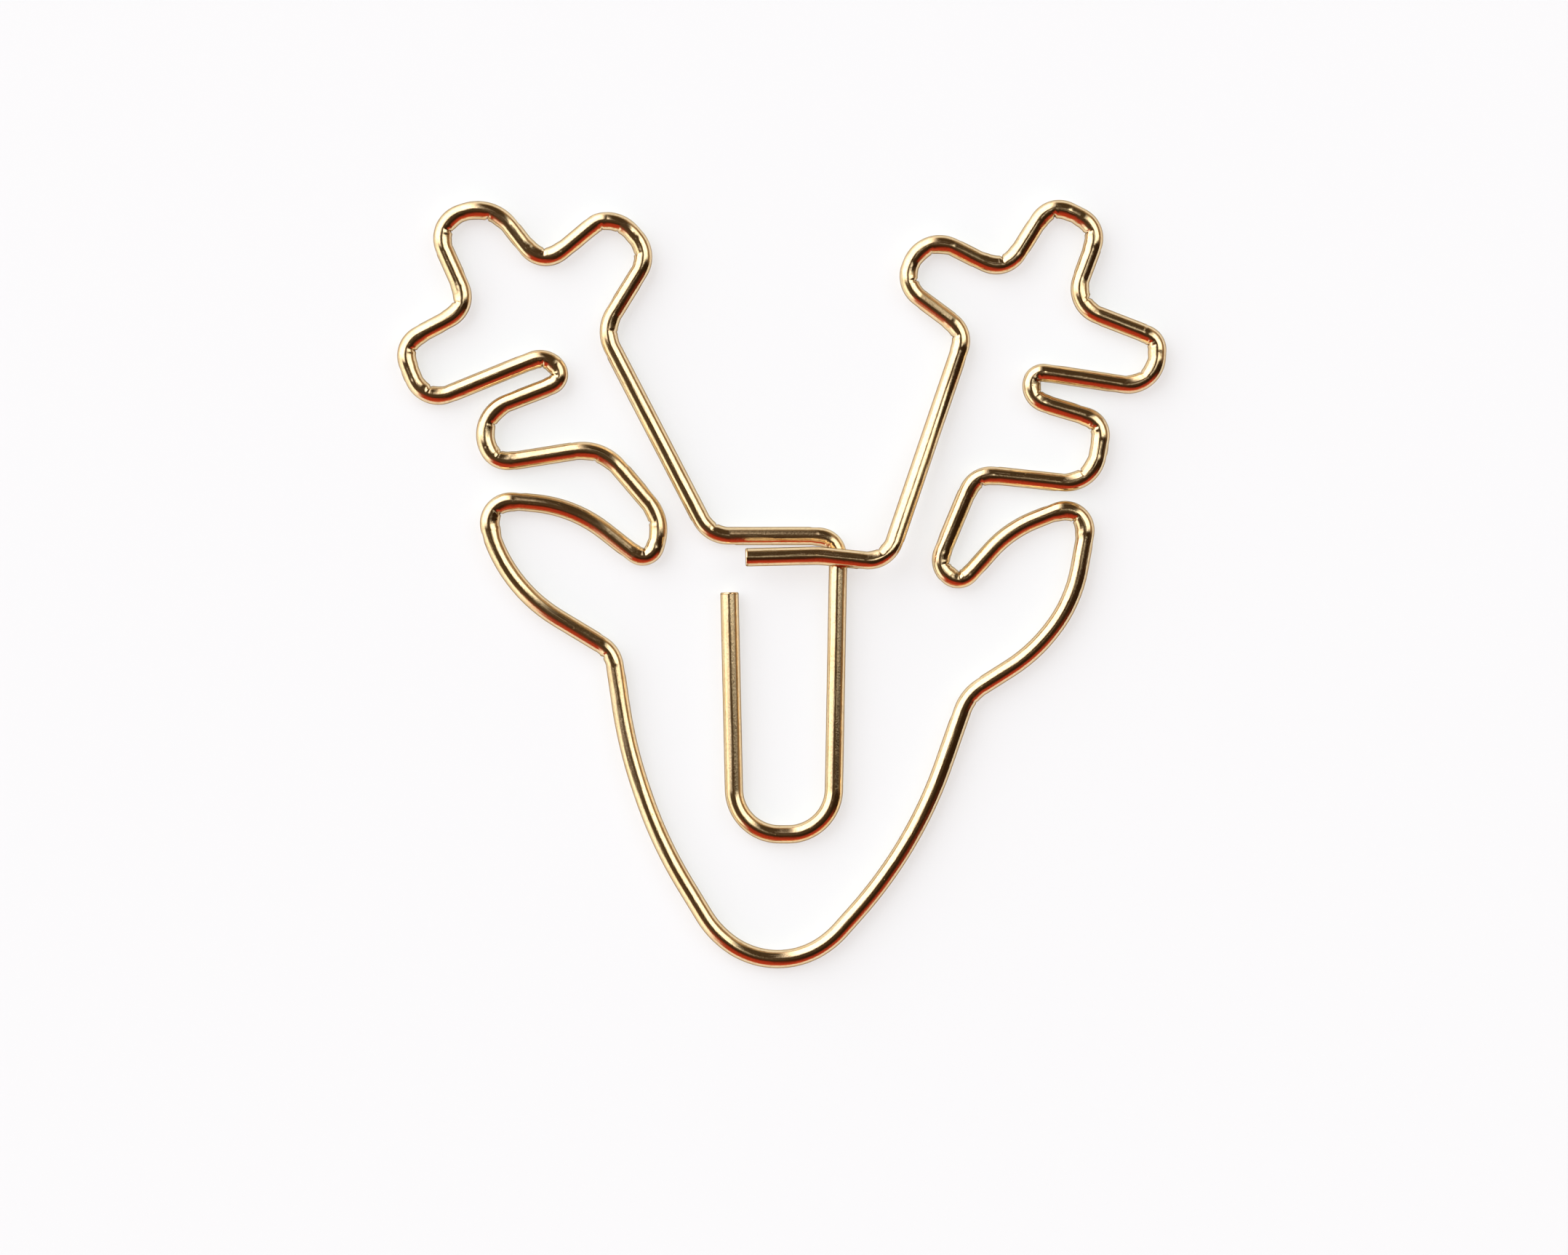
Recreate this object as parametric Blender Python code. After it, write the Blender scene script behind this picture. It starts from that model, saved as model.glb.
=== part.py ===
"""A reindeer-head paper clip, bent from one length of round gold-plated steel wire.

The clip lies flat on its back with +Z up, +Y towards the tips of the antlers and its origin
under the middle of its outline. The wire starts at the tip of the tongue, the long loop that
grips from behind. It climbs the left stem, goes round the left antler, the left ear, the face,
the right ear and the right antler, and comes down the right stem to the front end, which
crosses over the tongue and grips from the front.

The two inner legs spring: each swings about the crown of its antler. There the wire is parted
by a narrow gap, and everywhere else its stretches meet face to face.
"""

import math

import bmesh
import bpy
from mathutils import Vector
from mathutils.geometry import intersect_line_line_2d

# Wire: its diameter is measured across opposite facets
WIRE_DIAMETER = 0.001
WIRE_SIDES = 12
CUT_EDGE_BREAK = 0.00006

# Reach of the head's outermost corners, from the middle of the brow
LEFT_REACH = 0.02105
RIGHT_REACH = 0.0207
TOP_REACH = 0.0210
CHIN_REACH = 0.0219
LEFT_EAR_REACH = 0.01665
RIGHT_EAR_REACH = 0.01705

# Springs and clearances
CROSSING_GAP = 0.0003
FLEX_GAP = 0.0003
CROWN_STRAIGHT = 0.0008
FLEX_LENGTH = 0.005

# Smoothness of the bends
BEND_STEP = math.radians(15)
BEND_TOLERANCE = 0.00002
LIFTED_STEP = 0.002
MOST_BENT = 0.98

# Tongue: a long U whose far leg ends in a cut
TONGUE_WIDTH = 0.0054
TONGUE_LENGTH = 0.0164
TONGUE_TAPER = 0.0006
TONGUE_BEND = 0.0025
TONGUE_TIP_TOP = -0.0004
RUN_HEIGHT = 0.0027
RUN_END = 0.0031
RUN_BEND = 0.0011

# Front end: the short tip that crosses over the tongue
FRONT_HEIGHT = 0.0015
FRONT_TIP = -0.0020
FRONT_BOW = 0.0001
FRONT_BOW_AT = 0.0020
FRONT_BOW_RADIUS = 0.005

# Each bend below is the corner where its two straights would meet, x and y, and the radius
# to the middle of the wire.
LEFT_STEM = [
    (-0.0040, RUN_HEIGHT, 0.0017),
]
LEFT_ANTLER = [
    # Crown and inner prong
    (-0.00985, 0.0140, 0.0019),
    (-0.00725, 0.0182, 0.00155),
    (-0.0088, 0.0200, 0.0018),
    (-0.0101, 0.02005, 0.0011),
    # Valley and top prong
    (-0.0132, 0.01745, 0.0013),
    (-0.01595, TOP_REACH, 0.0022),
    (-0.01925, TOP_REACH - 0.00105, 0.00145),
    # Side prong
    (-0.01715, 0.01525, 0.00135),
    (-LEFT_REACH, 0.0132, 0.0013),
    (-LEFT_REACH + 0.00135, 0.00995, 0.00145),
    # Notch
    (-0.01305, 0.01265, 0.0012),
    (-0.01165, 0.01135, 0.0007),
    # Low prong
    (-0.01685, 0.00935, 0.00185),
    (-0.0159, 0.00665, 0.0012),
    # Inner side, down to the foot beside the ear
    (-0.00995, 0.0076, 0.00255),
    (-0.00655, 0.0036, 0.0023),
    (-0.00725, 0.0010, 0.00075),
]
LEFT_EAR = [
    (-0.01145, 0.0043, 0.0073),
    (-LEFT_EAR_REACH, 0.0048, 0.00125),
    (-0.0151, -0.00015, 0.0086),
    (-0.0093, -0.00365, 0.0016),
]
FACE = [
    (-0.00855, -0.00885, 0.0258),
    (-0.00675, -0.01415, 0.0244),
    (-0.00385, -CHIN_REACH + 0.0030, 0.00515),
    (-0.0003, -CHIN_REACH, 0.00465),
    (0.00295, -CHIN_REACH + 0.00265, 0.0052),
    (0.0073, -0.01435, 0.0243),
    (0.0102, -0.00605, 0.0025),
]
RIGHT_EAR = [
    (0.01375, -0.0038, 0.0088),
    (0.0160, -0.0010, 0.00765),
    (RIGHT_EAR_REACH, 0.00485, 0.00115),
    (0.01245, 0.0030, 0.00635),
    (0.0098, 0.0, 0.0009),
]
RIGHT_ANTLER = [
    # Foot beside the ear, and the inner side
    (0.00845, 0.0010, 0.0012),
    (0.0106, 0.00615, 0.00135),
    # Low prong
    (0.01705, 0.00545, 0.00175),
    (0.0177, 0.0090, 0.0011),
    # Notch
    (0.01365, 0.0102, 0.0011),
    (0.0137, 0.0118, 0.0007),
    # Side prong
    (RIGHT_REACH - 0.0002, 0.01075, 0.0016),
    (RIGHT_REACH, 0.01355, 0.00095),
    # Top prong
    (0.0159, 0.0154, 0.00155),
    (0.0175, TOP_REACH - 0.0013, 0.0013),
    (0.01475, TOP_REACH + 0.0001, 0.0013),
    # Valley, inner prong and crown
    (0.0123, 0.01715, 0.0014),
    (0.01085, 0.01785, 0.0045),
    (0.0079, 0.01935, 0.00165),
    (0.00655, 0.01655, 0.00145),
    (0.0101, 0.0139, 0.0013),
]
RIGHT_STEM = [
    (0.00575, 0.0012, 0.0015),
]

GOLD = (0.83, 0.66, 0.36, 1.0)
GOLD_ROUGHNESS = 0.16


def tongue_bends():
    """The tongue's tip and its bends, up to the run that leads to the left stem."""
    near_leg = RUN_END - TONGUE_TAPER / 2
    far_leg = near_leg - TONGUE_WIDTH
    foot = RUN_HEIGHT - TONGUE_LENGTH
    tip = (far_leg - TONGUE_TAPER / 2, TONGUE_TIP_TOP)
    return tip, [
        (far_leg, foot, TONGUE_BEND),
        (near_leg, foot, TONGUE_BEND),
        (RUN_END, RUN_HEIGHT, RUN_BEND),
    ]


def front_end_bends():
    """The shallow bow of the front end, and its tip."""
    return [(FRONT_BOW_AT, FRONT_HEIGHT + FRONT_BOW, FRONT_BOW_RADIUS)], (FRONT_TIP, FRONT_HEIGHT)


class Bend:
    """One bend of the wire, with the two straights beside it."""

    def __init__(self, before, corner, after, radius):
        self.corner = corner
        self.into = (corner - before).normalized()
        self.out = (after - corner).normalized()
        self.turn = math.atan2(
            self.into.x * self.out.y - self.into.y * self.out.x, self.into.dot(self.out)
        )
        self.set_radius(radius)

    def set_radius(self, radius):
        """Bends the corner to a radius, from where the wire leaves one straight to the next."""
        self.radius = radius
        self.reach = radius * math.tan(abs(self.turn) / 2)
        self.start = self.corner - self.into * self.reach
        self.end = self.corner + self.out * self.reach
        inward = Vector((-self.into.y, self.into.x)) * math.copysign(1, self.turn)
        self.centre = self.start + inward * radius

    def points(self):
        """Points along the bend with the way that the wire runs there."""
        finest = 2 * math.acos(max(0.0, 1 - BEND_TOLERANCE / self.radius))
        steps = max(2, math.ceil(abs(self.turn) / min(BEND_STEP, finest)))
        first = self.start - self.centre
        way = math.copysign(1, self.turn)
        found = []
        for i in range(steps + 1):
            angle = self.turn * i / steps
            spoke = Vector((
                first.x * math.cos(angle) - first.y * math.sin(angle),
                first.x * math.sin(angle) + first.y * math.cos(angle),
            ))
            along = Vector((-spoke.y, spoke.x)).normalized() * way
            found.append((self.centre + spoke, along))
        return found


def fit_bends(places, corners):
    """All the bends of the wire. Two that share a short straight are tightened to fit it."""
    bends = [
        Bend(places[i], places[i + 1], places[i + 2], corners[i][2])
        for i in range(len(corners))
    ]
    reaches = [0.0] + [bend.reach for bend in bends] + [0.0]
    shares = [
        min(1.0, (places[i + 1] - places[i]).length * MOST_BENT / (reaches[i] + reaches[i + 1]))
        for i in range(len(places) - 1)
    ]
    for i, bend in enumerate(bends):
        bend.set_radius(bend.radius * min(shares[i], shares[i + 1]))
    return bends


def outline_middle(bends):
    """The middle of the box round the whole outline."""
    points = [point for bend in bends for point, _ in bend.points()]
    across = [point.x for point in points]
    along = [point.y for point in points]
    return Vector((min(across) + max(across), min(along) + max(along))) / 2


def straight_points(start, end, step=None):
    """The two ends of a straight, and points between them where the wire is lifted."""
    along = (end - start).normalized()
    count = max(1, math.ceil((end - start).length / step)) if step else 1
    return [(start.lerp(end, i / count), along) for i in range(count + 1)]


class Wire:
    """The whole wire, as stretches that share the places where they meet."""

    def __init__(self):
        tip, tongue = tongue_bends()
        front, end = front_end_bends()
        self.stretches = [
            ("tongue", tongue),
            ("left_stem", LEFT_STEM),
            ("left_antler", LEFT_ANTLER),
            ("left_ear", LEFT_EAR),
            ("face", FACE),
            ("right_ear", RIGHT_EAR),
            ("right_antler", RIGHT_ANTLER),
            ("right_stem", RIGHT_STEM),
            ("front_end", front),
        ]
        corners = [corner for _, bends in self.stretches for corner in bends]
        places = [Vector(tip)] + [Vector(corner[:2]) for corner in corners] + [Vector(end)]
        middle = outline_middle(fit_bends(places, corners))
        places = [place - middle for place in places]
        self.bends = fit_bends(places, corners)
        self.tip = places[0]
        self.end = places[-1]
        self.spans = self.find_spans()
        self.left_crown = self.crown("left_stem", "left_antler")
        self.right_crown = self.crown("right_stem", "right_antler")
        self.slope = self.front_slope()

    def find_spans(self):
        """The first and last bend of each stretch."""
        spans = {}
        first = 0
        for name, bends in self.stretches:
            spans[name] = (first, first + len(bends) - 1)
            first += len(bends)
        return spans

    def crown(self, stem, antler):
        """Where a stem springs from its antler, and the way that the stem runs from there."""
        stem_first, stem_last = self.spans[stem]
        antler_first, antler_last = self.spans[antler]
        if stem_last < antler_first:
            top = self.bends[antler_first].start
            foot = self.bends[stem_last].end
        else:
            top = self.bends[antler_last].end
            foot = self.bends[stem_first].start
        down = (foot - top).normalized()
        return top + down * (CROWN_STRAIGHT + FLEX_GAP / 2), down

    def front_slope(self):
        """How steeply the right inner leg rises to cross over the tongue."""
        run_bend = self.bends[self.spans["tongue"][1]]
        tongue_foot = self.bends[self.spans["tongue"][1] - 1]
        bow = self.bends[self.spans["front_end"][0]]
        corner = self.bends[self.spans["right_stem"][0]]
        crossing = intersect_line_line_2d(
            run_bend.corner, tongue_foot.corner, bow.corner, corner.corner
        ) or bow.corner
        crown, down = self.right_crown
        lever = (crossing - crown).dot(down) - FLEX_LENGTH / 2
        return (WIRE_DIAMETER + CROSSING_GAP) / lever

    def height(self, place):
        """How far the right inner leg is lifted there, and how fast it rises down the leg."""
        crown, down = self.right_crown
        along = (place - crown).dot(down)
        if along <= 0:
            return 0.0, 0.0
        if along < FLEX_LENGTH:
            return self.slope * along**2 / (2 * FLEX_LENGTH), self.slope * along / FLEX_LENGTH
        return self.slope * (along - FLEX_LENGTH / 2), self.slope

    def meeting(self, name, at_start):
        """The place where a stretch starts or ends."""
        first, last = self.spans[name]
        index = first if at_start else last
        if at_start and index == 0:
            return self.tip
        if not at_start and index == len(self.bends) - 1:
            return self.end
        before = self.bends[index - 1].end if at_start else self.bends[index].end
        after = self.bends[index].start if at_start else self.bends[index + 1].start
        for crown, down in (self.left_crown, self.right_crown):
            on_this_straight = (crown - before).cross(after - before)
            between = (crown - before).dot(crown - after) < 0
            if abs(on_this_straight) < 1e-9 and between:
                way = down if "stem" in name else -down
                return crown + way * FLEX_GAP / 2
        return before.lerp(after, 0.5)

    def stations(self, name):
        """Points in space along one stretch, each with the way that the wire runs."""
        lifted = name in ("right_stem", "front_end")
        step = LIFTED_STEP if lifted else None
        first, last = self.spans[name]
        flat = []
        place = self.meeting(name, True)
        for bend in self.bends[first : last + 1]:
            flat += straight_points(place, bend.start, step)[:-1]
            flat += bend.points()
            place = bend.end
        flat += straight_points(place, self.meeting(name, False), step)[1:]
        found = []
        _, down = self.right_crown
        for point, along in flat:
            lift, rise = self.height(point) if lifted else (0.0, 0.0)
            middle = Vector((point.x, point.y, WIRE_DIAMETER / 2 + lift))
            found.append((middle, Vector((along.x, along.y, rise * along.dot(down))).normalized()))
        return found


def ring(bm, middle, along, radius):
    """One ring of vertices round the wire, with a facet underneath. The facets touch the radius."""
    corner_radius = radius / math.cos(math.pi / WIRE_SIDES)
    up = (Vector((0, 0, 1)) - along * along.z).normalized()
    side = along.cross(up)
    verts = []
    for i in range(WIRE_SIDES):
        angle = 2 * math.pi * (i + 0.5) / WIRE_SIDES - math.pi / 2
        spoke = side * math.cos(angle) + up * math.sin(angle)
        verts.append(bm.verts.new(middle + spoke * corner_radius))
    return verts


def cut_rings(middle, along, outwards):
    """A cut tip: the flat end, with its edge broken a little."""
    radius = WIRE_DIAMETER / 2
    inset = middle - along * outwards * CUT_EDGE_BREAK
    rings = [(inset, along, radius), (middle, along, radius - CUT_EDGE_BREAK)]
    return rings if outwards > 0 else rings[::-1]


def wire_mesh(name, stations, origin, cut_start, cut_end):
    """One stretch of wire as a closed mesh, placed about its own origin."""
    radius = WIRE_DIAMETER / 2
    rows = [(middle, along, radius) for middle, along in stations]
    if cut_start:
        rows[0:1] = cut_rings(*stations[0], -1)
    if cut_end:
        rows[-1:] = cut_rings(*stations[-1], 1)
    bm = bmesh.new()
    rings = [ring(bm, middle - origin, along, size) for middle, along, size in rows]
    for near, far in zip(rings, rings[1:]):
        for i in range(WIRE_SIDES):
            j = (i + 1) % WIRE_SIDES
            bm.faces.new((near[i], near[j], far[j], far[i]))
    bm.faces.new(rings[0][::-1])
    bm.faces.new(rings[-1])
    bmesh.ops.recalc_face_normals(bm, faces=bm.faces)
    mesh = bpy.data.meshes.new(name)
    bm.to_mesh(mesh)
    bm.free()
    mesh.shade_smooth()
    mesh.set_sharp_from_angle(angle=math.radians(40))
    return mesh


def gold_plating(name):
    """Polished gold plating over steel."""
    material = bpy.data.materials.new(f"{name}_gold")
    material.use_nodes = True
    shader = material.node_tree.nodes["Principled BSDF"]
    shader.inputs["Base Color"].default_value = GOLD
    shader.inputs["Metallic"].default_value = 1.0
    shader.inputs["Roughness"].default_value = GOLD_ROUGHNESS
    return material


def add_pivot(name, crown):
    """An empty on the axis about which a leg springs."""
    pivot = bpy.data.objects.new(name, None)
    pivot.empty_display_size = WIRE_DIAMETER * 2
    pivot.location = (crown.x, crown.y, WIRE_DIAMETER / 2)
    bpy.context.scene.collection.objects.link(pivot)
    return pivot


def add_stretch(wire, name, pivot=None):
    """One named stretch of the wire, on its leg's pivot where it springs."""
    origin = pivot.location.copy() if pivot else Vector((0, 0, 0))
    first, last = wire.spans[name]
    cut_start = first == 0
    cut_end = last == len(wire.bends) - 1
    mesh = wire_mesh(name, wire.stations(name), origin, cut_start, cut_end)
    mesh.materials.append(gold_plating(name))
    piece = bpy.data.objects.new(name, mesh)
    piece.parent = pivot
    bpy.context.scene.collection.objects.link(piece)
    return piece


def main():
    for old in list(bpy.data.objects):
        bpy.data.objects.remove(old, do_unlink=True)
    wire = Wire()
    left_pivot = add_pivot("left_crown_pivot", wire.left_crown[0])
    right_pivot = add_pivot("right_crown_pivot", wire.right_crown[0])
    for name in ("left_antler", "left_ear", "face", "right_ear", "right_antler"):
        add_stretch(wire, name)
    for name in ("left_stem", "tongue"):
        add_stretch(wire, name, left_pivot)
    for name in ("right_stem", "front_end"):
        add_stretch(wire, name, right_pivot)


main()
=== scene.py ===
import math
import random

import bpy
import numpy as np
from mathutils import Matrix, Vector
from mathutils.geometry import intersect_line_line_2d


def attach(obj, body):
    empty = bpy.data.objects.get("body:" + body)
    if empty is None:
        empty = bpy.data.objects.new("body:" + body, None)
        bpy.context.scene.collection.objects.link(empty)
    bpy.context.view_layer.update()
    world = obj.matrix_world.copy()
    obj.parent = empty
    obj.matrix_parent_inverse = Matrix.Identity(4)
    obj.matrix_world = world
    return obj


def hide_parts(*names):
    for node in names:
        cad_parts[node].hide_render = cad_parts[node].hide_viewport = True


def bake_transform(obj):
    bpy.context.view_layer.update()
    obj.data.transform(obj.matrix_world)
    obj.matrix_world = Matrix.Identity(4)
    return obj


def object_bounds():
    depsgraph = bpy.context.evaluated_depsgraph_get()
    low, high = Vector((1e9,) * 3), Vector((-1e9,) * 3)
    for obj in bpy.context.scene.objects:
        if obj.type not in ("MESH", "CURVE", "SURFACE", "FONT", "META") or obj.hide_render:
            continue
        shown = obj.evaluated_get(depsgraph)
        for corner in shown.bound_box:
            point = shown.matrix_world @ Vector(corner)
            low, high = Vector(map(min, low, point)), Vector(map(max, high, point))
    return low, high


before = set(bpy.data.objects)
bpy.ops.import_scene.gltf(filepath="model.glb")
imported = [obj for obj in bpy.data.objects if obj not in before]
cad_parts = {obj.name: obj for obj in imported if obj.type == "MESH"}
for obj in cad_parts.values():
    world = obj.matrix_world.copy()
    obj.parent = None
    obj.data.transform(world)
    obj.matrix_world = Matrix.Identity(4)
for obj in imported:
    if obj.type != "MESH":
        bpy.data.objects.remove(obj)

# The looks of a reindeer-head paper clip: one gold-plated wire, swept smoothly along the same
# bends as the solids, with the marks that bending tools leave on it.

cad_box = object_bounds()

# View: a lens straight above the clip
PHOTO_WIDTH = 2156
PIXELS_PER_METRE = 25000
SENSOR_WIDTH = 36.0
LENS = 100.0
CLIP_START = 0.01
AIM = (0.00012, -0.00240)

# Wire
WIRE_RADIUS = 0.0005
CROSSING_GAP = 0.0003
FLEX_GAP = 0.0003
CROWN_STRAIGHT = 0.0008
FLEX_LENGTH = 0.005
MOST_BENT = 0.98

# How finely the wire is swept
SIDES = 40
BEND_STEP = math.radians(4)
LONGEST_STEP = 0.0005
FINE_STEP = 0.00007
FINE_REACH = 0.00042

# Reach of the head's outermost corners, from the middle of the brow
LEFT_REACH = 0.02105
RIGHT_REACH = 0.0207
TOP_REACH = 0.0210
CHIN_REACH = 0.0219
LEFT_EAR_REACH = 0.01665
RIGHT_EAR_REACH = 0.01705

# Tongue and front end
TONGUE_WIDTH = 0.0054
TONGUE_LENGTH = 0.0164
TONGUE_TAPER = 0.0006
TONGUE_BEND = 0.0025
TONGUE_TIP_TOP = -0.0004
RUN_HEIGHT = 0.0027
RUN_END = 0.0031
RUN_BEND = 0.0011
FRONT_HEIGHT = 0.0015
FRONT_TIP = -0.0020
FRONT_BOW = 0.0001
FRONT_BOW_AT = 0.0020
FRONT_BOW_RADIUS = 0.005
NEAR_LEG = RUN_END - TONGUE_TAPER / 2
FAR_LEG = NEAR_LEG - TONGUE_WIDTH
TONGUE_FOOT = RUN_HEIGHT - TONGUE_LENGTH
TIP = (FAR_LEG - TONGUE_TAPER / 2, TONGUE_TIP_TOP)
END = (FRONT_TIP, FRONT_HEIGHT)

# Each bend below is the corner where its two straights would meet, x and y, and the radius to
# the middle of the wire.
TONGUE = [
    (FAR_LEG, TONGUE_FOOT, TONGUE_BEND),
    (NEAR_LEG, TONGUE_FOOT, TONGUE_BEND),
    (RUN_END, RUN_HEIGHT, RUN_BEND),
]
LEFT_STEM = [
    (-0.0040, RUN_HEIGHT, 0.0017),
    (-0.00985, 0.0140, 0.0019),
]
LEFT_ANTLER = [
    (-0.00725, 0.0182, 0.00155),
    (-0.0088, 0.0200, 0.0018),
    (-0.0101, 0.02005, 0.0011),
    (-0.0132, 0.01745, 0.0013),
    (-0.01595, TOP_REACH, 0.0022),
    (-0.01925, TOP_REACH - 0.00105, 0.00145),
    (-0.01715, 0.01525, 0.00135),
    (-LEFT_REACH, 0.0132, 0.0013),
    (-LEFT_REACH + 0.00135, 0.00995, 0.00145),
    (-0.01305, 0.01265, 0.0012),
    (-0.01165, 0.01135, 0.0007),
    (-0.01685, 0.00935, 0.00185),
    (-0.0159, 0.00665, 0.0012),
    (-0.00995, 0.0076, 0.00255),
    (-0.00655, 0.0036, 0.0023),
    (-0.00725, 0.0010, 0.00075),
]
LEFT_EAR = [
    (-0.01145, 0.0043, 0.0073),
    (-LEFT_EAR_REACH, 0.0048, 0.00125),
    (-0.0151, -0.00015, 0.0086),
    (-0.0093, -0.00365, 0.0016),
]
FACE = [
    (-0.00855, -0.00885, 0.0258),
    (-0.00675, -0.01415, 0.0244),
    (-0.00385, -CHIN_REACH + 0.0030, 0.00515),
    (-0.0003, -CHIN_REACH, 0.00465),
    (0.00295, -CHIN_REACH + 0.00265, 0.0052),
    (0.0073, -0.01435, 0.0243),
    (0.0102, -0.00605, 0.0025),
]
RIGHT_EAR = [
    (0.01375, -0.0038, 0.0088),
    (0.0160, -0.0010, 0.00765),
    (RIGHT_EAR_REACH, 0.00485, 0.00115),
    (0.01245, 0.0030, 0.00635),
    (0.0098, 0.0, 0.0009),
]
RIGHT_ANTLER = [
    (0.00845, 0.0010, 0.0012),
    (0.0106, 0.00615, 0.00135),
    (0.01705, 0.00545, 0.00175),
    (0.0177, 0.0090, 0.0011),
    (0.01365, 0.0102, 0.0011),
    (0.0137, 0.0118, 0.0007),
    (RIGHT_REACH - 0.0002, 0.01075, 0.0016),
    (RIGHT_REACH, 0.01355, 0.00095),
    (0.0159, 0.0154, 0.00155),
    (0.0175, TOP_REACH - 0.0013, 0.0013),
    (0.01475, TOP_REACH + 0.0001, 0.0013),
    (0.0123, 0.01715, 0.0014),
    (0.01085, 0.01785, 0.0045),
    (0.0079, 0.01935, 0.00165),
    (0.00655, 0.01655, 0.00145),
]
RIGHT_STEM = [
    (0.0101, 0.0139, 0.0013),
    (0.00575, 0.0012, 0.0015),
]
FRONT_END = [
    (FRONT_BOW_AT, FRONT_HEIGHT + FRONT_BOW, FRONT_BOW_RADIUS),
]

# A piece's wire, the node it stands for and the bodies that it rides on or lies between
STRETCHES = [
    ("tongue", TONGUE, "tongue_leg"),
    ("left_stem", LEFT_STEM, "head tongue_leg"),
    ("left_antler", LEFT_ANTLER, "head"),
    ("left_ear", LEFT_EAR, "head"),
    ("face", FACE, "head"),
    ("right_ear", RIGHT_EAR, "head"),
    ("right_antler", RIGHT_ANTLER, "head"),
    ("right_stem", RIGHT_STEM, "head front_leg"),
    ("front_end", FRONT_END, "front_leg"),
]

# Marks of the bending tools: inside a bend the wire bulges between the creases that the tool
# leaves, and outside it has a shallow flat with a ledge at each end. Only bends below both of
# the first two values are marked, so that the tongue's wide loop stays smooth.
TIGHT_RADIUS = 0.0026
TIGHT_REACH = 0.0021
ROUND_RADIUS = 0.00145
CREASE_BESIDE = 0.00038
CREASE_DEPTH = 0.00006
CREASE_STRENGTH = (0.5, 1.2)
CREASE_WIDTH = 0.00007
CREASE_LIP = 0.5
CREASE_LIP_PLACE = 2.4
BULGE_SHARE = 0.75
BULGE_FOCUS = 1.5
MOST_BULGE = 0.00016
LEDGE_DEPTH = 0.000036
LEDGE_REACH = (0.0001, 0.0006)
LEDGE_EDGE = 0.00004
LEAST_FACING = 0.3
PRESS_EDGE = 0.00015
WRINKLE_DEPTH = 0.000005
WRINKLE_PITCH = 0.00013
NICK_DEPTH = (0.000012, 0.000042)
NICK_LENGTH = (0.00004, 0.00011)
NICK_SPREAD = (0.20, 0.45)
MOST_NICKS = 4
NICK_SCATTER = 0.00018
INNER_NICK_TURN = 0.5
OUTER_NICK_TURN = 0.4
OUTER_NICK_CHANCE = 0.5
BURR_SHARE = 0.45
BURR_HEIGHT = 0.8
OVAL = 0.03

# Lengthwise scrapes: the stretch, where on it they start and stop in metres, and the angle
# round the wire in degrees from its left side. Short ones lie here and there besides.
SCRAPES = [
    ("face", 0.0001, 0.0098, 115),
    ("face", 0.0012, 0.0060, 98),
    ("left_stem", 0.0002, 0.0026, 75),
]
SCRAPE_SPREAD = 0.26
SCRAPE_DEPTH = 0.000009
SCRAPE_WEAR = 0.8
SCRAPE_FADE = 0.0008
SCRAPE_WANDER = 0.5
SCRAPE_WAVES = 9
SCRAPE_SHIFT = 5
SHORT_SCRAPES = 46
SHORT_SCRAPE_LENGTH = (0.0006, 0.0032)
SHORT_SCRAPE_SPREAD = (0.05, 0.16)
SHORT_SCRAPE_WEAR = (0.2, 0.6)
SEED = 11

# Cut ends: distance from the end and share of the radius
CUT_PROFILE = [(0.00012, 1.0), (0.00005, 0.985), (0.000015, 0.95), (0.0, 0.89)]

SHARP_ANGLE = math.radians(60)
MILLIMETRES = 1000

# Plating: its colours where it is clean, stained, worn by tools, specked and pitted, and a
# painted
# shade: the dark tint that darkens the rim of the wire, standing in for the shaded floor it
# mirrors
GOLD = (0.91, 0.727, 0.45, 1.0)
COPPERY_GOLD = (0.86, 0.63, 0.355, 1.0)
WORN_GOLD = (0.92, 0.78, 0.55, 1.0)
BRASSY_GOLD = (0.93, 0.60, 0.20, 1.0)
PITTED_GOLD = (0.60, 0.45, 0.26, 1.0)
RIM_SHADE_TINT = (0.20, 0.10, 0.05, 1.0)

# How fine each texture is, per millimetre along, across and up the wire or all round
DRAWING_LINES = (0.35, 9.0, 9.0)
SCORE_WAVER = (0.22, 4.0, 4.0)
GRAIN = (7.0, 11.0, 11.0)
STAIN_SCALE = 0.7
SPECK_SCALE = 1.7

# The values between which each texture sets in, and the share of its colour
SCORE_RANGE = (0.0, 0.022)
STAIN_RANGE = (0.42, 0.72)
PIT_RANGE = (0.50, 0.68)
SPECK_RANGE = (0.03, 0.07)
STAIN_SHARE = 0.6
WORN_SHARE = 0.5
PIT_SHARE = 0.55
SPECK_SHARE = 0.8

# Roughness of the plating between and on its drawing lines, and what each texture adds to it
LINE_RANGE = (0.3, 0.75)
LINE_ROUGHNESS = (0.04, 0.10)
STAIN_ROUGHNESS_RANGE = (0.45, 0.75)
STAIN_ROUGHNESS = 0.04
WEAR_ROUGHNESS = 0.14
PIT_ROUGHNESS = 0.10
SPECK_ROUGHNESS = 0.1

# Height of each texture, as a multiple of the relief's own height in metres
RELIEF_HEIGHT = 0.0000035
LINE_RELIEF = 1.5
SCORE_RELIEF = 0.25
GRAIN_RELIEF = 0.7
WORN_GRAIN_RELIEF = 0.6
SPECK_RELIEF = 0.7


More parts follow.
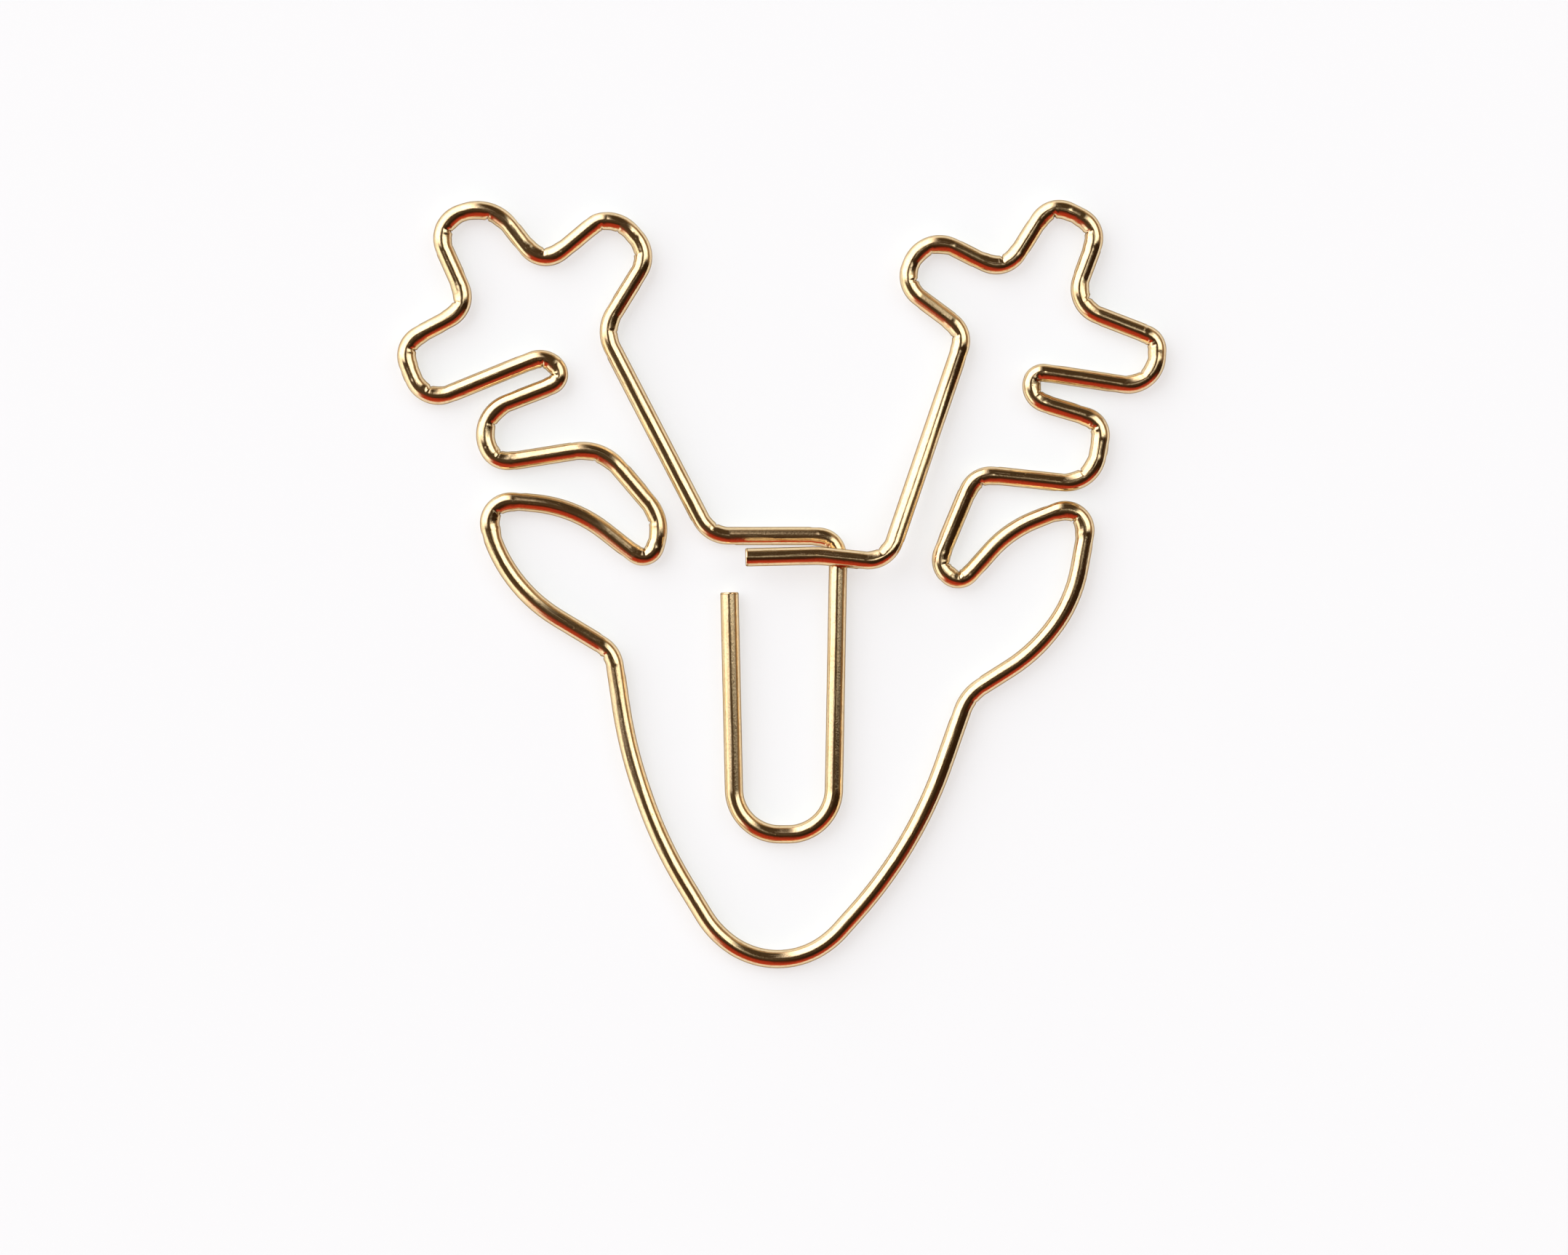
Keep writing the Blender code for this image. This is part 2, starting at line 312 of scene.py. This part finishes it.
class Bend:
    """One bend of the wire: an arc between two straights."""

    def __init__(self, before, corner, after, radius):
        self.corner = corner
        self.into = (corner - before).normalized()
        self.out = (after - corner).normalized()
        cross = self.into.x * self.out.y - self.into.y * self.out.x
        self.turn = math.atan2(cross, self.into.dot(self.out))
        self.set_radius(radius)

    def set_radius(self, radius):
        self.radius = radius
        self.reach = radius * math.tan(abs(self.turn) / 2)
        self.start = self.corner - self.into * self.reach
        self.end = self.corner + self.out * self.reach
        self.centre = self.start + self.left_of(self.into) * math.copysign(radius, self.turn)

    @staticmethod
    def left_of(way):
        return Vector((-way.y, way.x))

    def stations(self):
        """Places along the bend, each with the way that the wire runs."""
        step = min(BEND_STEP, LONGEST_STEP / self.radius)
        count = max(2, math.ceil(abs(self.turn) / step))
        found = []
        for i in range(count + 1):
            turned = Matrix.Rotation(self.turn * i / count, 2)
            found.append((self.centre + turned @ (self.start - self.centre), turned @ self.into))
        return found


def fit_bends(places, radii):
    """All the bends of the wire. Two that share a short straight are tightened to fit it."""
    bends = [Bend(places[i], places[i + 1], places[i + 2], radii[i]) for i in range(len(radii))]
    reaches = [0.0] + [bend.reach for bend in bends] + [0.0]
    shares = [
        min(1.0, (places[i + 1] - places[i]).length * MOST_BENT / (reaches[i] + reaches[i + 1]))
        for i in range(len(places) - 1)
    ]
    for i, bend in enumerate(bends):
        bend.set_radius(bend.radius * min(shares[i], shares[i + 1]))
    return bends


def middle_of(low, high):
    return Vector(((low[0] + high[0]) / 2, (low[1] + high[1]) / 2))


def straight_distances(length):
    """Distances along a straight: fine steps beside the bends, and one exactly halfway."""
    half = length / 2
    near = np.arange(0, min(FINE_REACH, half), FINE_STEP)
    count = max(1, math.ceil((half - near[-1]) / LONGEST_STEP))
    first = np.concatenate([near, np.linspace(near[-1], half, count + 1)[1:]])
    return np.concatenate([first, length - first[-2::-1]])


class Wire:
    """The middle line of the whole wire, as arrays with one row for each station."""

    def __init__(self):
        corners = [corner for _, bends, _ in STRETCHES for corner in bends]
        radii = [corner[2] for corner in corners]
        places = [Vector(TIP)] + [Vector(corner[:2]) for corner in corners] + [Vector(END)]
        arcs = [bend.stations() for bend in fit_bends(places, radii)]
        drawn = np.array([place for arc in arcs for place, _ in arc])
        shift = middle_of(*cad_box) - middle_of(drawn.min(axis=0), drawn.max(axis=0))
        places = [place + shift for place in places]
        self.bends = fit_bends(places, radii)
        self.trace(places[0], places[-1])
        self.find_stretches()
        self.left_crown = self.crown(self.first["left_stem"] + 1, -1)
        self.right_crown = self.crown(self.first["right_stem"], 1)
        self.lift()

    def trace(self, tip, end):
        """Stations on every straight and bend, and the station halfway along each straight."""
        flat = []
        self.halfway = []
        self.bend_range = []
        place = tip
        for bend in self.bends + [None]:
            goal = bend.start if bend else end
            way = (goal - place).normalized()
            distances = straight_distances((goal - place).length)
            self.halfway.append(len(flat) + len(distances) // 2)
            flat += [(place + way * float(distance), way) for distance in distances[:-1]]
            if bend:
                arc = bend.stations()
                self.bend_range.append((len(flat), len(flat) + len(arc) - 1))
                flat += arc[:-1]
                place = bend.end
        flat.append((end, way))
        self.place = np.array([place for place, _ in flat])
        self.way = np.array([way for _, way in flat])
        steps = np.linalg.norm(np.diff(self.place, axis=0), axis=1)
        self.run = np.concatenate([[0.0], np.cumsum(steps)])

    def find_stretches(self):
        """The first bend of each stretch, and the stations where it starts and ends."""
        self.first = {}
        self.span = {}
        count = 0
        for name, bends, _ in STRETCHES:
            self.first[name] = count
            start = self.halfway[count] if count else 0
            count += len(bends)
            stop = self.halfway[count] if count < len(self.bends) else len(self.place) - 1
            self.span[name] = (start, stop)

    def crown(self, index, side):
        """Where a stem springs from the bend at the top of it, and the way down the stem."""
        bend = self.bends[index]
        other = self.bends[index + side]
        top, foot = (bend.end, other.start) if side > 0 else (bend.start, other.end)
        down = (foot - top).normalized()
        return top + down * (CROWN_STRAIGHT + FLEX_GAP / 2), down

    def lift(self):
        """Raises the right inner leg from its crown on, so that it crosses over the tongue."""
        crown, down = self.right_crown
        run_bend = self.bends[self.first["left_stem"] - 1]
        tongue_foot = self.bends[self.first["left_stem"] - 2]
        bow = self.bends[self.first["front_end"]]
        corner = self.bends[self.first["front_end"] - 1]
        crossing = intersect_line_line_2d(
            run_bend.corner, tongue_foot.corner, bow.corner, corner.corner
        ) or bow.corner
        lever = (crossing - crown).dot(down) - FLEX_LENGTH / 2
        slope = (WIRE_RADIUS * 2 + CROSSING_GAP) / lever
        along = (self.place - np.array(crown)) @ np.array(down)
        along[: self.bend_range[self.first["right_stem"]][1]] = 0
        along = np.maximum(along, 0)
        flexed = np.minimum(along, FLEX_LENGTH)
        rise = slope * flexed / FLEX_LENGTH
        height = rise * flexed / 2 + slope * (along - flexed)
        up_the_way = rise * (self.way @ np.array(down))
        self.middle = np.column_stack([self.place, WIRE_RADIUS + height])
        tangent = np.column_stack([self.way, up_the_way])
        self.along = tangent / np.linalg.norm(tangent, axis=1, keepdims=True)
        vertical = np.array([0.0, 0.0, 1.0])
        up = vertical - self.along * self.along[:, 2:]
        self.up = up / np.linalg.norm(up, axis=1, keepdims=True)
        self.left = np.cross(self.up, self.along)


def smooth_step(x):
    x = np.clip(x, 0.0, 1.0)
    return x * x * (3 - 2 * x)


def window(run, start, stop, edge):
    """1 between start and stop, and 0 outside, with soft edges."""
    return smooth_step((run - start) / edge + 0.5) * smooth_step((stop - run) / edge + 0.5)


def off_angle(angles, middle):
    """How far each angle round the wire lies from one angle."""
    return np.abs((angles - middle + math.pi) % (2 * math.pi) - math.pi)


class Surface:
    """The wire's skin: its radius and its wear at each station and each angle round it."""

    def __init__(self, wire):
        self.wire = wire
        self.angles = np.arange(SIDES) * 2 * math.pi / SIDES
        self.radius = np.full((len(wire.run), SIDES), WIRE_RADIUS)
        self.wear = np.zeros_like(self.radius)
        self.random = random.Random(SEED)
        for bend, (start, stop) in zip(wire.bends, wire.bend_range):
            if bend.radius < TIGHT_RADIUS and bend.reach < TIGHT_REACH:
                self.press(bend, start, stop)
        for name, start, stop, angle in SCRAPES:
            begin = wire.run[wire.span[name][0]]
            angle = math.radians(angle)
            self.scrape(begin + start, begin + stop, angle, SCRAPE_SPREAD, SCRAPE_WEAR)
        for _ in range(SHORT_SCRAPES):
            start = self.random.uniform(0, wire.run[-1])
            stop = start + self.random.uniform(*SHORT_SCRAPE_LENGTH)
            angle = self.random.uniform(0, 2 * math.pi)
            spread = self.random.uniform(*SHORT_SCRAPE_SPREAD)
            self.scrape(start, stop, angle, spread, self.random.uniform(*SHORT_SCRAPE_WEAR))

    def flatten(self, amount, depth, middle):
        """Presses a flat as deep as depth into one side, as far as amount goes along the wire."""
        facing = np.cos(off_angle(self.angles, middle))
        limit = (WIRE_RADIUS - depth) / np.maximum(facing, LEAST_FACING)
        limit = np.where(facing > LEAST_FACING, limit, 1.0)
        pressed = np.minimum(self.radius, limit[None, :])
        change = (self.radius - pressed) * amount[:, None]
        self.radius -= change
        self.wear = np.maximum(self.wear, smooth_step(change / (depth * 0.5)))

    def press(self, bend, first, last):
        """The marks that bending leaves: inner creases and bulges, an outer ledge and nicks."""
        run = self.wire.run
        start = run[first]
        stop = run[last]
        inside = 0.0 if bend.turn > 0 else math.pi
        outside = math.pi - inside
        bent = window(run, start, stop, PRESS_EDGE)
        squash = OVAL * (0.5 * np.sin(self.angles) ** 2 - np.cos(self.angles) ** 2)
        self.radius *= 1 + bent[:, None] * squash[None, :]
        before = self.random.uniform(*LEDGE_REACH)
        after = self.random.uniform(*LEDGE_REACH)
        ledge = window(run, start - before, stop + after, LEDGE_EDGE)
        self.flatten(ledge, LEDGE_DEPTH, outside)
        self.wrinkle(bent, inside)
        beside = CREASE_BESIDE if bend.radius < ROUND_RADIUS else 0.0
        creases = [start - beside, (start + stop) / 2, stop + beside]
        stations = [int(np.abs(run - crease).argmin()) for crease in creases]
        for near, far in zip(stations, stations[1:]):
            self.bulge(near, far, inside)
        self.crease(run[stations[1]], inside)
        for _ in range(self.random.randint(1, MOST_NICKS)):
            angle = inside + self.random.gauss(0, INNER_NICK_TURN)
            self.nick(run[stations[1]] + self.random.gauss(0, NICK_SCATTER), angle)
        if self.random.random() < OUTER_NICK_CHANCE:
            self.nick(stop + after, outside + self.random.gauss(0, OUTER_NICK_TURN))

    def bulge(self, near, far, inside):
        """Fills the inside of a bend out towards the straight line between two stations."""
        rows = slice(near, far + 1)
        inward = self.wire.left[rows, :2] * math.cos(inside)
        places = self.wire.place[rows]
        first = places[0] + inward[0] * WIRE_RADIUS
        chord = places[-1] + inward[-1] * WIRE_RADIUS - first
        to_first = first - places
        crossed = to_first[:, 0] * chord[1] - to_first[:, 1] * chord[0]
        facing_chord = inward[:, 0] * chord[1] - inward[:, 1] * chord[0]
        extra = np.clip(crossed / facing_chord - WIRE_RADIUS, 0, MOST_BULGE)
        facing = np.maximum(np.cos(off_angle(self.angles, inside)), 0) ** BULGE_FOCUS
        self.radius[rows] += BULGE_SHARE * extra[:, None] * facing[None, :]

    def crease(self, run, inside):
        """A sharp groove across the inside of a bend, where the tool's edge lay."""
        depth = CREASE_DEPTH * self.random.uniform(*CREASE_STRENGTH)
        away = np.abs(self.wire.run - run) / CREASE_WIDTH
        near = np.exp(-away)
        lips = CREASE_LIP * np.exp(-((away - CREASE_LIP_PLACE) ** 2))
        facing = np.maximum(np.cos(off_angle(self.angles, inside)), 0)
        self.radius -= depth * (near - lips)[:, None] * facing[None, :]
        self.wear = np.maximum(self.wear, (near[:, None] * facing[None, :]) ** 2)

    def wrinkle(self, bent, inside):
        """Fine creases across the inside of a bend."""
        phase = self.random.uniform(0, 2 * math.pi)
        facing = np.maximum(np.cos(off_angle(self.angles, inside)), 0) ** 2
        crease = 0.5 + 0.5 * np.cos(2 * math.pi * self.wire.run / WRINKLE_PITCH + phase)
        self.radius -= WRINKLE_DEPTH * (bent * crease)[:, None] * facing[None, :]

    def nick(self, run, angle):
        """One small dent or raised burr."""
        depth = self.random.uniform(*NICK_DEPTH)
        if self.random.random() < BURR_SHARE:
            depth *= -BURR_HEIGHT
        length = self.random.uniform(*NICK_LENGTH)
        spread = self.random.uniform(*NICK_SPREAD)
        near = np.exp(-(((self.wire.run - run) / length) ** 2))
        round_it = np.exp(-((off_angle(self.angles, angle) / spread) ** 2))
        amount = near[:, None] * round_it[None, :]
        self.radius -= depth * amount
        self.wear = np.maximum(self.wear, amount)

    def scrape(self, start, stop, angle, spread, strength):
        """A shallow groove scraped along the wire, worn by strength and ragged at its ends."""
        length = stop - start
        along = window(self.wire.run, start, stop, min(SCRAPE_FADE, length / 2))
        wave = np.sin(self.wire.run / length * SCRAPE_WAVES + angle * SCRAPE_SHIFT)
        wander = angle + spread * SCRAPE_WANDER * wave
        off = off_angle(self.angles[None, :], wander[:, None])
        amount = along[:, None] * np.exp(-((off / spread) ** 2))
        self.radius -= SCRAPE_DEPTH * amount
        self.wear = np.maximum(self.wear, strength * amount)

    def rings(self, start, stop):
        """Points of the skin from one station to another, with their marks."""
        rows = slice(start, stop + 1)
        wire = self.wire
        across = self.radius[rows, :, None] * np.cos(self.angles)[None, :, None]
        upward = self.radius[rows, :, None] * np.sin(self.angles)[None, :, None]
        points = (
            wire.middle[rows, None, :] + wire.left[rows, None, :] * across
            + wire.up[rows, None, :] * upward
        )
        points[:, :, 2] = np.maximum(points[:, :, 2], 0.0)
        run = np.broadcast_to(wire.run[rows, None, None], across.shape)
        space = np.concatenate([run, across, upward], axis=2)
        return points, space, self.wear[rows]


def cut_end(points, space, wear, along):
    """Ends a piece in a cut: the last ring becomes rings that round its edge over."""
    middle = points[-1].mean(axis=0)
    rim = points[-1] - middle
    rings = [middle + rim * share - along * inset for inset, share in CUT_PROFILE]
    count = len(rings)
    points = np.concatenate([points[:-1], np.array(rings)])
    space = np.concatenate([space[:-1], np.repeat(space[-1:], count, axis=0)])
    wear = np.concatenate([wear[:-1], np.repeat(wear[-1:], count, axis=0)])
    return points, space, wear


def wire_mesh(name, points, space, wear):
    """A closed tube through rings of points."""
    rings = len(points)
    index = np.arange(rings * SIDES).reshape(rings, SIDES)
    turned = np.roll(index, -1, axis=1)
    quads = np.stack([index[:-1], turned[:-1], turned[1:], index[1:]], axis=2).reshape(-1, 4)
    faces = [tuple(map(int, quad)) for quad in quads]
    faces.append(tuple(map(int, index[0][::-1])))
    faces.append(tuple(map(int, index[-1])))
    mesh = bpy.data.meshes.new(name)
    mesh.from_pydata(points.reshape(-1, 3).tolist(), [], faces)
    place = mesh.attributes.new("wire_space", "FLOAT_VECTOR", "POINT")
    place.data.foreach_set("vector", (space * MILLIMETRES).astype(np.float32).ravel())
    worn = mesh.attributes.new("wear", "FLOAT", "POINT")
    worn.data.foreach_set("value", wear.astype(np.float32).ravel())
    mesh.shade_smooth()
    mesh.set_sharp_from_angle(angle=SHARP_ANGLE)
    mesh.update()
    return mesh


class Graph:
    """Adds nodes to a node tree and joins them up."""

    def __init__(self, tree):
        self.tree = tree

    def add(self, kind, inputs=(), **settings):
        node = self.tree.nodes.new(kind)
        for key, value in settings.items():
            setattr(node, key, value)
        for key, value in dict(inputs).items():
            self.put(node.inputs[key], value)
        return node

    def put(self, socket, value):
        if isinstance(value, bpy.types.NodeSocket):
            self.tree.links.new(value, socket)
        else:
            socket.default_value = value

    def math(self, operation, *values):
        return self.add("ShaderNodeMath", enumerate(values), operation=operation).outputs[0]

    def ramp(self, value, low, high, to_low=0.0, to_high=1.0):
        """Goes smoothly from to_low to to_high as value goes from low to high."""
        inputs = {"Value": value, "From Min": low, "From Max": high, "To Min": to_low,
                  "To Max": to_high}
        settings = {"interpolation_type": "SMOOTHSTEP"}
        return self.add("ShaderNodeMapRange", inputs, **settings).outputs["Result"]

    def noise(self, vector, detail, roughness, scale=1.0):
        inputs = {"Vector": vector, "Scale": scale, "Detail": detail, "Roughness": roughness}
        return self.add("ShaderNodeTexNoise", inputs).outputs["Fac"]

    def stretched(self, vector, scale):
        return self.add("ShaderNodeMapping", {"Vector": vector, "Scale": scale}).outputs[0]

    def blend(self, factor, first, second):
        node = self.add("ShaderNodeMix", data_type="RGBA")
        self.put(node.inputs[0], factor)
        self.put(node.inputs[6], first)
        self.put(node.inputs[7], second)
        return node.outputs[2]


def gold_plating():
    """Gold plating over drawn steel wire: drawing lines, faint stains, specks and tool wear."""
    material = bpy.data.materials.new("gold_plated_wire")
    material.use_nodes = True
    graph = Graph(material.node_tree)
    shader = material.node_tree.nodes["Principled BSDF"]
    place = graph.add("ShaderNodeAttribute", attribute_name="wire_space").outputs["Vector"]
    wear = graph.add("ShaderNodeAttribute", attribute_name="wear").outputs["Fac"]

    lines = graph.noise(graph.stretched(place, DRAWING_LINES), detail=4.0, roughness=0.6)
    waver = graph.noise(graph.stretched(place, SCORE_WAVER), detail=1.0, roughness=0.5)
    off_middle = graph.math("ABSOLUTE", graph.math("SUBTRACT", waver, 0.5))
    scores = graph.ramp(off_middle, *SCORE_RANGE, 1.0, 0.0)
    stains = graph.noise(place, detail=3.0, roughness=0.6, scale=STAIN_SCALE)
    grain = graph.noise(graph.stretched(place, GRAIN), detail=4.0, roughness=0.7)
    pits = graph.ramp(grain, *PIT_RANGE)
    cells = {"Vector": place, "Scale": SPECK_SCALE, "Randomness": 1.0}
    from_cell = graph.add("ShaderNodeTexVoronoi", cells).outputs["Distance"]
    specks = graph.ramp(from_cell, *SPECK_RANGE, 1.0, 0.0)

    stained = graph.ramp(stains, *STAIN_RANGE, 0.0, STAIN_SHARE)
    colour = graph.blend(stained, GOLD, COPPERY_GOLD)
    colour = graph.blend(graph.math("MULTIPLY", wear, WORN_SHARE), colour, WORN_GOLD)
    colour = graph.blend(graph.math("MULTIPLY", pits, PIT_SHARE), colour, PITTED_GOLD)
    colour = graph.blend(graph.math("MULTIPLY", specks, SPECK_SHARE), colour, BRASSY_GOLD)
    graph.put(shader.inputs["Base Color"], colour)
    shader.inputs["Metallic"].default_value = 1.0
    # Painted shade: a dark edge tint darkens the reflection at the rim of the wire
    shader.inputs["Specular Tint"].default_value = RIM_SHADE_TINT

    smooth = graph.ramp(lines, *LINE_RANGE, *LINE_ROUGHNESS)
    dull = graph.ramp(stains, *STAIN_ROUGHNESS_RANGE, 0.0, STAIN_ROUGHNESS)
    roughness = graph.math("ADD", smooth, dull)
    roughness = graph.math("MULTIPLY_ADD", wear, WEAR_ROUGHNESS, roughness)
    roughness = graph.math("MULTIPLY_ADD", pits, PIT_ROUGHNESS, roughness)
    roughness = graph.math("MULTIPLY_ADD", specks, SPECK_ROUGHNESS, roughness)
    graph.put(shader.inputs["Roughness"], roughness)

    relief = graph.math("MULTIPLY", lines, LINE_RELIEF)
    relief = graph.math("MULTIPLY_ADD", scores, SCORE_RELIEF, relief)
    grain_height = graph.math("MULTIPLY_ADD", wear, WORN_GRAIN_RELIEF, GRAIN_RELIEF)
    relief = graph.math("MULTIPLY_ADD", grain, grain_height, relief)
    relief = graph.math("MULTIPLY_ADD", specks, SPECK_RELIEF, relief)
    raised = {"Height": relief, "Strength": 1.0, "Distance": RELIEF_HEIGHT}
    bump = graph.add("ShaderNodeBump", raised)
    graph.put(shader.inputs["Normal"], bump.outputs["Normal"])
    return material


def add_wire():
    """All the pieces of the wire, each in the place of its node."""
    wire = Wire()
    surface = Surface(wire)
    gold = gold_plating()
    for name, _, bodies in STRETCHES:
        start, stop = wire.span[name]
        points, space, wear = surface.rings(start, stop)
        if stop == len(wire.run) - 1:
            points, space, wear = cut_end(points, space, wear, wire.along[-1])
        if start == 0:
            turned = cut_end(points[::-1], space[::-1], wear[::-1], -wire.along[0])
            points, space, wear = (rows[::-1] for rows in turned)
        mesh = wire_mesh(f"{name}_wire", points, space, wear)
        mesh.materials.append(gold)
        piece = bpy.data.objects.new(f"{name}_wire", mesh)
        bpy.context.scene.collection.objects.link(piece)
        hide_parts(name)
        if name == "left_stem":
            spring(piece)
        elif name == "right_stem":
            spring(piece)
        else:
            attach(piece, bodies)


def spring(piece):
    """Bakes a stem's place into its mesh, leaving it on no body."""
    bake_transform(piece)


# Floor: its lift is a glow that is seen, also in the wire, but lights nothing else, and
# SEE_THROUGH is how much of what lies below shows from above
FLOOR_SIZE = 4.0
FLOOR_DROP = 0.00002
FLOOR_COLOUR = (0.76, 0.87, 0.97, 1.0)
FLOOR_ROUGHNESS = 0.5
FLOOR_GLOSS = 0.2
FLOOR_LIFT_COLOUR = (1.0, 1.0, 1.0, 1.0)
FLOOR_LIFT = 0.35
SEE_THROUGH = 0.4


def add_floor():
    """A plain pale floor, which looks near white and still takes the clip's shadow.

    It is a milky sheet: a leg that springs below it still shows faintly, and from below it is
    clear.
    """
    half = FLOOR_SIZE / 2
    corners = [(-half, -half), (half, -half), (half, half), (-half, half)]
    mesh = bpy.data.meshes.new("floor")
    mesh.from_pydata([(x, y, -FLOOR_DROP) for x, y in corners], [], [(0, 1, 2, 3)])
    material = bpy.data.materials.new("floor_paint")
    material.use_nodes = True
    tree = material.node_tree
    graph = Graph(tree)
    shader = tree.nodes["Principled BSDF"]
    shader.inputs["Base Color"].default_value = FLOOR_COLOUR
    shader.inputs["Roughness"].default_value = FLOOR_ROUGHNESS
    shader.inputs["Specular IOR Level"].default_value = FLOOR_GLOSS
    shader.inputs["Emission Color"].default_value = FLOOR_LIFT_COLOUR
    lift = graph.math("MULTIPLY", seen_directly(graph), FLOOR_LIFT)
    graph.put(shader.inputs["Emission Strength"], lift)
    from_below = graph.add("ShaderNodeNewGeometry").outputs["Backfacing"]
    thin = graph.math("MAXIMUM", from_below, SEE_THROUGH)
    by_camera = graph.add("ShaderNodeLightPath").outputs["Is Camera Ray"]
    clear = graph.math("MULTIPLY", by_camera, thin)
    glass = graph.add("ShaderNodeBsdfTransparent").outputs[0]
    mixed = graph.add("ShaderNodeMixShader", {0: clear, 1: shader.outputs[0], 2: glass})
    tree.links.new(mixed.outputs[0], tree.nodes["Material Output"].inputs["Surface"])
    mesh.materials.append(material)
    floor = bpy.data.objects.new("floor", mesh)
    bpy.context.scene.collection.objects.link(floor)


def seen_directly(graph):
    """1 for what the camera sees, also in a mirror or through glass, and 0 for light."""
    path = graph.add("ShaderNodeLightPath").outputs
    glossy = graph.math("MAXIMUM", path["Is Glossy Ray"], path["Is Transmission Ray"])
    return graph.math("MAXIMUM", path["Is Camera Ray"], glossy)


# Soft lights round the clip, each a patch of the surroundings: the direction of its middle and
# its half width, both as a compass angle from +X; the angles down from straight above between
# which it lies; the softness of its edges; and its colour and strength. Angles are in degrees.
SOFT_LIGHTS = [
    ("overhead", 0, 200, -30, 17, 10, (0.042, 0.030, 0.019)),
    ("key_softbox", 140, 42, 22, 91, 9, (2.4, 2.2, 2.1)),
    ("side_softbox", 28, 24, 9, 58, 8, (2.0, 1.94, 1.8)),
    ("side_wall", 28, 32, 62, 100, 8, (0.26, 0.17, 0.10)),
    ("north_wall", 76, 24, 20, 100, 14, (0.034, 0.026, 0.016)),
    ("north_skirting", 76, 26, 78, 100, 8, (0.35, 0.27, 0.19)),
    ("left_shade", 206, 24, 18, 56, 12, (0.055, 0.042, 0.028)),
    ("left_wall", 206, 21, 57, 100, 9, (1.5, 1.40, 1.25)),
    ("red_wall", 250, 24, 36, 96, 15, (0.42, 0.034, 0.016)),
    ("red_corner", 300, 27, 52, 96, 13, (0.42, 0.036, 0.020)),
    ("orange_glow", 274, 50, 84, 104, 10, (0.42, 0.34, 0.20)),
]
DIM_SURROUNDINGS = (0.030, 0.015, 0.007)
BACKDROP = (0.97, 0.97, 0.97, 1.0)


def add_light():
    """A world of soft boxes and walls that lights the clip, and a white one for the camera."""
    world = bpy.data.worlds.new("studio")
    bpy.context.scene.world = world
    world.use_nodes = True
    tree = world.node_tree
    tree.nodes.clear()
    graph = Graph(tree)
    direction = graph.add("ShaderNodeTexCoord").outputs["Generated"]
    parts = graph.add("ShaderNodeSeparateXYZ", {0: direction})
    compass = graph.math("DEGREES", graph.math("ARCTAN2", parts.outputs["Y"], parts.outputs["X"]))
    down = graph.math("DEGREES", graph.math("ARCCOSINE", parts.outputs["Z"]))
    total = DIM_SURROUNDINGS
    for name, middle, half_width, top, bottom, edge, colour in SOFT_LIGHTS:
        turned = graph.math("WRAP", graph.math("SUBTRACT", compass, middle), 180, -180)
        away = graph.math("ABSOLUTE", turned)
        across = graph.ramp(away, half_width - edge, half_width + edge, 1.0, 0.0)
        upper = graph.ramp(down, top - edge, top + edge)
        lower = graph.ramp(down, bottom - edge, bottom + edge, 1.0, 0.0)
        mask = graph.math("MULTIPLY", across, graph.math("MULTIPLY", upper, lower))
        masked = {0: colour, "Scale": mask}
        patch = graph.add("ShaderNodeVectorMath", masked, operation="SCALE", label=name)
        both = {0: patch.outputs[0], 1: total}
        total = graph.add("ShaderNodeVectorMath", both, operation="ADD").outputs[0]
    path = graph.add("ShaderNodeLightPath")
    shown = graph.blend(path.outputs["Is Camera Ray"], total, BACKDROP)
    background = graph.add("ShaderNodeBackground", {"Color": shown, "Strength": 1.0})
    output = graph.add("ShaderNodeOutputWorld")
    tree.links.new(background.outputs[0], output.inputs["Surface"])


def add_camera():
    """A camera straight above, which sees the photograph's field."""
    camera = bpy.data.cameras.new("camera")
    camera.sensor_width = SENSOR_WIDTH
    camera.lens = LENS
    camera.clip_start = CLIP_START
    distance = PHOTO_WIDTH / PIXELS_PER_METRE * LENS / SENSOR_WIDTH
    stand = bpy.data.objects.new("camera", camera)
    stand.location = (*AIM, WIRE_RADIUS + distance)
    bpy.context.scene.collection.objects.link(stand)
    bpy.context.scene.camera = stand


add_camera()
add_light()
add_floor()
add_wire()
bpy.context.scene.view_settings.view_transform = "Standard"
